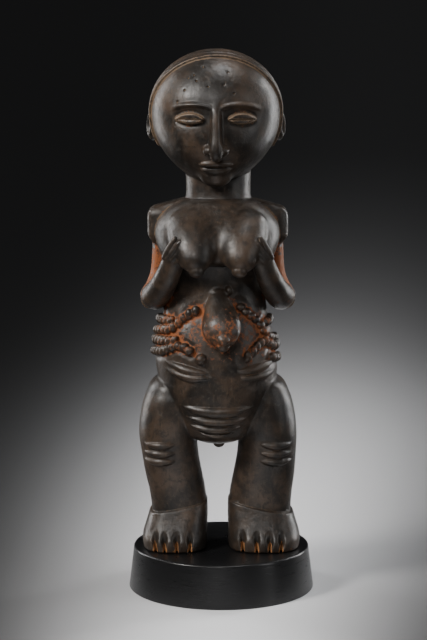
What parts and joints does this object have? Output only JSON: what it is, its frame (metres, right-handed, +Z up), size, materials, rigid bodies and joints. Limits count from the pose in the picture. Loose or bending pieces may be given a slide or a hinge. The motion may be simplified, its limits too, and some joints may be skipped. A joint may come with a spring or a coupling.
{
  "type": "carved ancestor figure",
  "caption": "Carved standing female ancestor figure with hands at the breasts and raised beaded patterns, on a round tapered black display base.",
  "frame": {"origin": "centre of the display base's underside, which is the bottom centre of the whole", "axes": "+Z up, -Y the way the figure faces, +X to the right of someone who looks at its face"},
  "size_m": [0.157, 0.157, 0.4549],
  "materials": {
    "carved_wood": "dark brown-black oiled patina, worn to tan on the high edges",
    "black_base": "satin black lacquer"
  },
  "bodies": {
    "root": {"figure": "carved_wood", "display_base": "black_base"}
  },
  "joints": []
}
